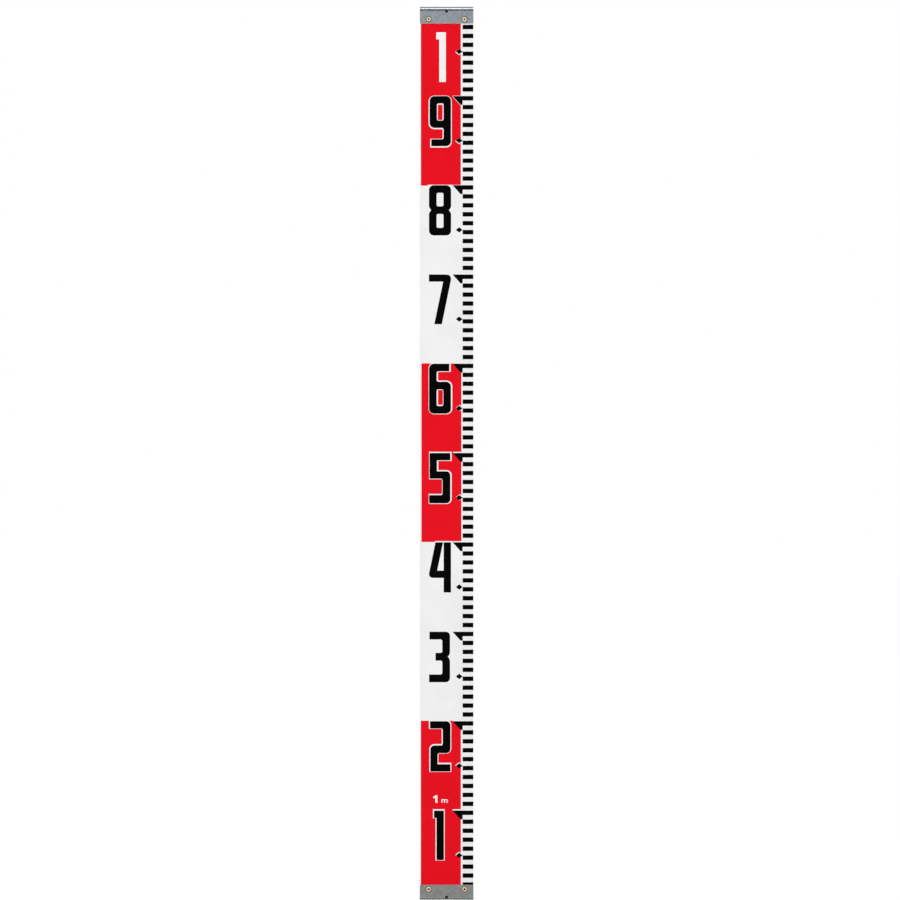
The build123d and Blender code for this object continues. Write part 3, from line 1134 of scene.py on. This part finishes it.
def light_world():
    """A white surround to look at, and a softer one to light with."""
    world = bpy.data.worlds.new("studio")
    world.use_nodes = True
    tree = world.node_tree
    strength = ramp(tree, seen_directly(tree), 0.0, 1.0, settings().stage.ambient, 1.0)
    feed(tree, tree.nodes["Background"], {"Strength": strength, "Color": (1, 1, 1, 1)})
    bpy.context.scene.world = world


def floor_material():
    """A pale floor that reads as white where it is lit and keeps the staff's shadow."""
    material, tree, shader, place = new_material("pale floor")
    stage = settings().stage
    tint = blend_colours(tree, noise(tree, place, 0.6), shade(stage.floor, 0.99), shade(stage.floor, 1.01))
    glow = math_node(tree, "MULTIPLY", seen_directly(tree), stage.floor_glow)
    feed(tree, shader, {"Base Color": tint, "Roughness": 0.9, "Specular IOR Level": 0.0,
                        "Emission Color": (1, 1, 1, 1), "Emission Strength": glow})
    return material


class STAFF_OT_stage(bpy.types.Operator):
    """Set the floor, the soft lamps and the camera"""
    bl_idname = "staff.stage"
    bl_label = "Stage"

    def execute(self, context):
        stage = settings().stage
        floor = add_primitive("floor", bpy.ops.mesh.primitive_plane_add, size=stage.floor_size)
        clothe(floor, floor_material())
        middle = (stage.frame_x, 0, ZERO + stage.frame_z)
        add_lamp("key lamp", stage.key, stage.side_size, stage.side_size, stage.key_place, middle)
        add_lamp("fill lamp", stage.fill, stage.side_size, stage.side_size, stage.fill_place, middle)
        add_lamp("front lamp", stage.front, stage.front_wide, stage.front_high, stage.front_place, middle)
        light_world()
        drop = stage.distance * math.tan(stage.tilt)
        camera_place = (stage.frame_x, INK_FRONT - stage.distance, ZERO + stage.frame_z - drop)
        bpy.ops.object.camera_add(location=camera_place, rotation=(math.pi / 2 + stage.tilt, 0, 0))
        camera = bpy.context.object
        camera.data.lens = camera.data.sensor_width * stage.distance / stage.frame_width
        bpy.context.scene.camera = camera
        bpy.context.scene.view_settings.view_transform = "Standard"
        return {"FINISHED"}


class STAFF_PT_panel(bpy.types.Panel):
    """The staff's steps and settings in the sidebar of the 3D view."""
    bl_idname = "STAFF_PT_panel"
    bl_label = "Leveling staff"
    bl_space_type = "VIEW_3D"
    bl_region_type = "UI"
    bl_category = "Staff"

    def draw(self, context):
        for step in STEPS:
            self.layout.operator(step.bl_idname)
        staff = context.scene.staff
        for group in (staff.ribbon, staff.scale, staff.fitting, staff.rivet, staff.stage):
            box = self.layout.box()
            for key in group.__annotations__:
                box.prop(group, key)


STEPS = (STAFF_OT_ribbon, STAFF_OT_black_print, STAFF_OT_numerals, STAFF_OT_red_print, STAFF_OT_fittings,
         STAFF_OT_rivets, STAFF_OT_cloth, STAFF_OT_stage)
GROUPS = (RibbonSettings, PrintSettings, FittingSettings, RivetSettings, StageSettings, StaffSettings)
CLASSES = GROUPS + STEPS + (STAFF_PT_panel,)


def register():
    """Registers the classes and hangs the settings on the scene."""
    for item in CLASSES:
        bpy.utils.register_class(item)
    bpy.types.Scene.staff = PointerProperty(type=StaffSettings)


def unregister():
    """Takes the settings and the classes away again."""
    del bpy.types.Scene.staff
    for item in reversed(CLASSES):
        bpy.utils.unregister_class(item)


def main():
    """Builds every piece in order."""
    register()
    bpy.ops.staff.ribbon()
    bpy.ops.staff.black_print()
    bpy.ops.staff.numerals()
    bpy.ops.staff.red_print()
    bpy.ops.staff.fittings()
    bpy.ops.staff.rivets()
    bpy.ops.staff.cloth()
    bpy.ops.staff.stage()


if __name__ == "__main__":
    main()
